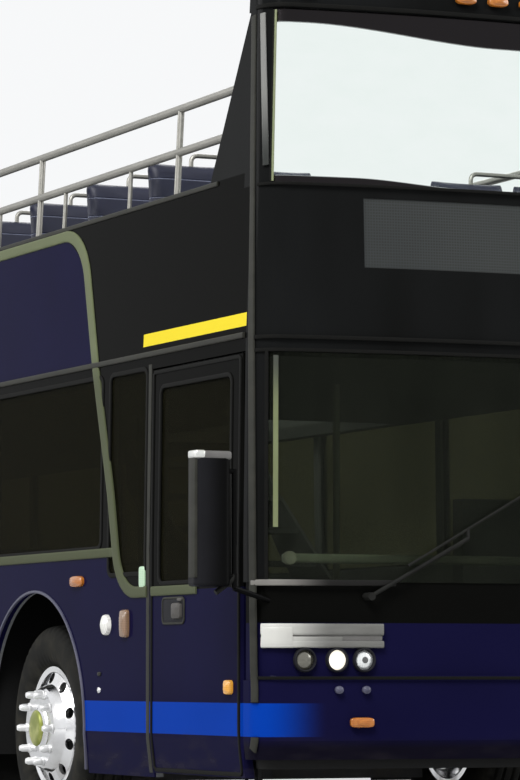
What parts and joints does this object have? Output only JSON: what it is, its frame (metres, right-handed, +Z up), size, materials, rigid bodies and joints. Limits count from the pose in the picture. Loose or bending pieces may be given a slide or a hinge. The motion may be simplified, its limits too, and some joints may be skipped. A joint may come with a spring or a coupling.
{
  "type": "open top double decker bus",
  "caption": "Open top double decker coach with a roofless upper deck behind a windscreen and header, an entry door, steered front wheels, twin drive wheels and a tag axle.",
  "frame": {"origin": "on the ground under the middle of the body's box", "axes": "-Y is the front, +Y the back, -X the door side, +Z up"},
  "size_m": [3.215, 13.0942, 3.9499],
  "materials": {
    "lower_paint": "gloss navy",
    "upper_paint": "gloss near-black",
    "front_paint": "gloss near-black",
    "window_glass": "dark tint",
    "screen_glass": "clear",
    "rail_metal": "satin",
    "wheel_metal": "polished",
    "tyre_rubber": "matte",
    "frame_metal": "satin black",
    "floor_cover": "ribbed grey",
    "seat_cloth": "moulded blue",
    "trim_plastic": "grained black",
    "lamp_lens": "bright",
    "tail_lens": "red",
    "engine_iron": "cast"
  },
  "bodies": {
    "coach": {"dashboard": "trim_plastic", "drive_axle": "frame_metal", "driver_seat": "seat_cloth", "engine": "engine_iron", "floor_lower": "floor_cover", "floor_rear": "floor_cover", "floor_upper": "floor_cover", "front_axle": "frame_metal", "front_bumper": "lower_paint", "front_deck_panel": "front_paint", "front_mask": "lower_paint", "front_posts": "front_paint", "headlamps": "lamp_lens", "mirrors": "trim_plastic", "rail_mid": "rail_metal", "rail_posts": "rail_metal", "rail_top": "rail_metal", "rear_upper_panel": "upper_paint", "rear_wall": "lower_paint", "seat_backs": "seat_cloth", "seat_cushions": "seat_cloth", "seat_legs": "frame_metal", "side_glass": "window_glass", "side_wall_left": "lower_paint", "side_wall_right": "lower_paint", "sign_window": "front_paint", "stair_guard": "rail_metal", "stairs": "floor_cover", "tag_axle": "frame_metal", "tail_lamps": "tail_lens", "underframe": "frame_metal", "upper_front_frame": "front_paint", "upper_panel_left": "upper_paint", "upper_panel_right": "upper_paint", "windscreen_lower": "screen_glass", "windscreen_upper": "screen_glass", "wipers": "trim_plastic"},
    "door": {"door_leaf": "lower_paint", "door_glass": "window_glass"},
    "lid": {"engine_lid": "lower_paint"},
    "steering": {"steering_wheel": "trim_plastic"},
    "knuckle_r": {"knuckle_right": "frame_metal"},
    "knuckle_l": {"knuckle_left": "frame_metal"},
    "front_wheel_right": {"tyre_front_right": "tyre_rubber", "wheel_front_right": "wheel_metal"},
    "front_wheel_left": {"tyre_front_left": "tyre_rubber", "wheel_front_left": "wheel_metal"},
    "drive_wheel_right": {"tyre_drive_right": "tyre_rubber", "wheel_drive_right": "wheel_metal"},
    "drive_wheel_left": {"tyre_drive_left": "tyre_rubber", "wheel_drive_left": "wheel_metal"},
    "tag_wheel_right": {"tyre_tag_right": "tyre_rubber", "wheel_tag_right": "wheel_metal"},
    "tag_wheel_left": {"tyre_tag_left": "tyre_rubber", "wheel_tag_left": "wheel_metal"}
  },
  "joints": [
    {"name": "door_hinge", "type": "hinge", "parent": "coach", "child": "door", "pos_m": [-1.258, -6.1925, 1.2], "axis": [0, 0, 1], "range_deg": [0, 80]},
    {"name": "engine_lid_hinge", "type": "hinge", "parent": "coach", "child": "lid", "pos_m": [0, 6.538, 1.142], "axis": [1, 0, 0], "range_deg": [0, 75]},
    {"name": "steering_turn", "type": "hinge", "parent": "coach", "child": "steering", "pos_m": [0.7, -5.84, 1.09], "axis": [0, 0.4226, 0.9063], "range_deg": [-720, 720]},
    {"name": "steer_right", "type": "hinge", "parent": "coach", "child": "knuckle_r", "pos_m": [-0.945, -3.79, 0.5], "axis": [0, 0, 1], "range_deg": [-36, 36]},
    {"name": "spin_front_right", "type": "hinge", "parent": "knuckle_r", "child": "front_wheel_right", "pos_m": [-1.08, -3.79, 0.5], "axis": [1, 0, 0], "continuous": true},
    {"name": "spin_drive_right", "type": "hinge", "parent": "coach", "child": "drive_wheel_right", "pos_m": [-1.08, 2.26, 0.5], "axis": [1, 0, 0], "continuous": true},
    {"name": "spin_tag_right", "type": "hinge", "parent": "coach", "child": "tag_wheel_right", "pos_m": [-1.08, 3.66, 0.5], "axis": [1, 0, 0], "continuous": true},
    {"name": "steer_left", "type": "hinge", "parent": "coach", "child": "knuckle_l", "pos_m": [0.945, -3.79, 0.5], "axis": [0, 0, 1], "range_deg": [-36, 36]},
    {"name": "spin_front_left", "type": "hinge", "parent": "knuckle_l", "child": "front_wheel_left", "pos_m": [1.08, -3.79, 0.5], "axis": [1, 0, 0], "continuous": true},
    {"name": "spin_drive_left", "type": "hinge", "parent": "coach", "child": "drive_wheel_left", "pos_m": [1.08, 2.26, 0.5], "axis": [1, 0, 0], "continuous": true},
    {"name": "spin_tag_left", "type": "hinge", "parent": "coach", "child": "tag_wheel_left", "pos_m": [1.08, 3.66, 0.5], "axis": [1, 0, 0], "continuous": true}
  ],
  "couplings": [
    {"joint": "steer_right", "follows": "steering_turn", "ratio": 0.05},
    {"joint": "steer_left", "follows": "steering_turn", "ratio": 0.05}
  ]
}
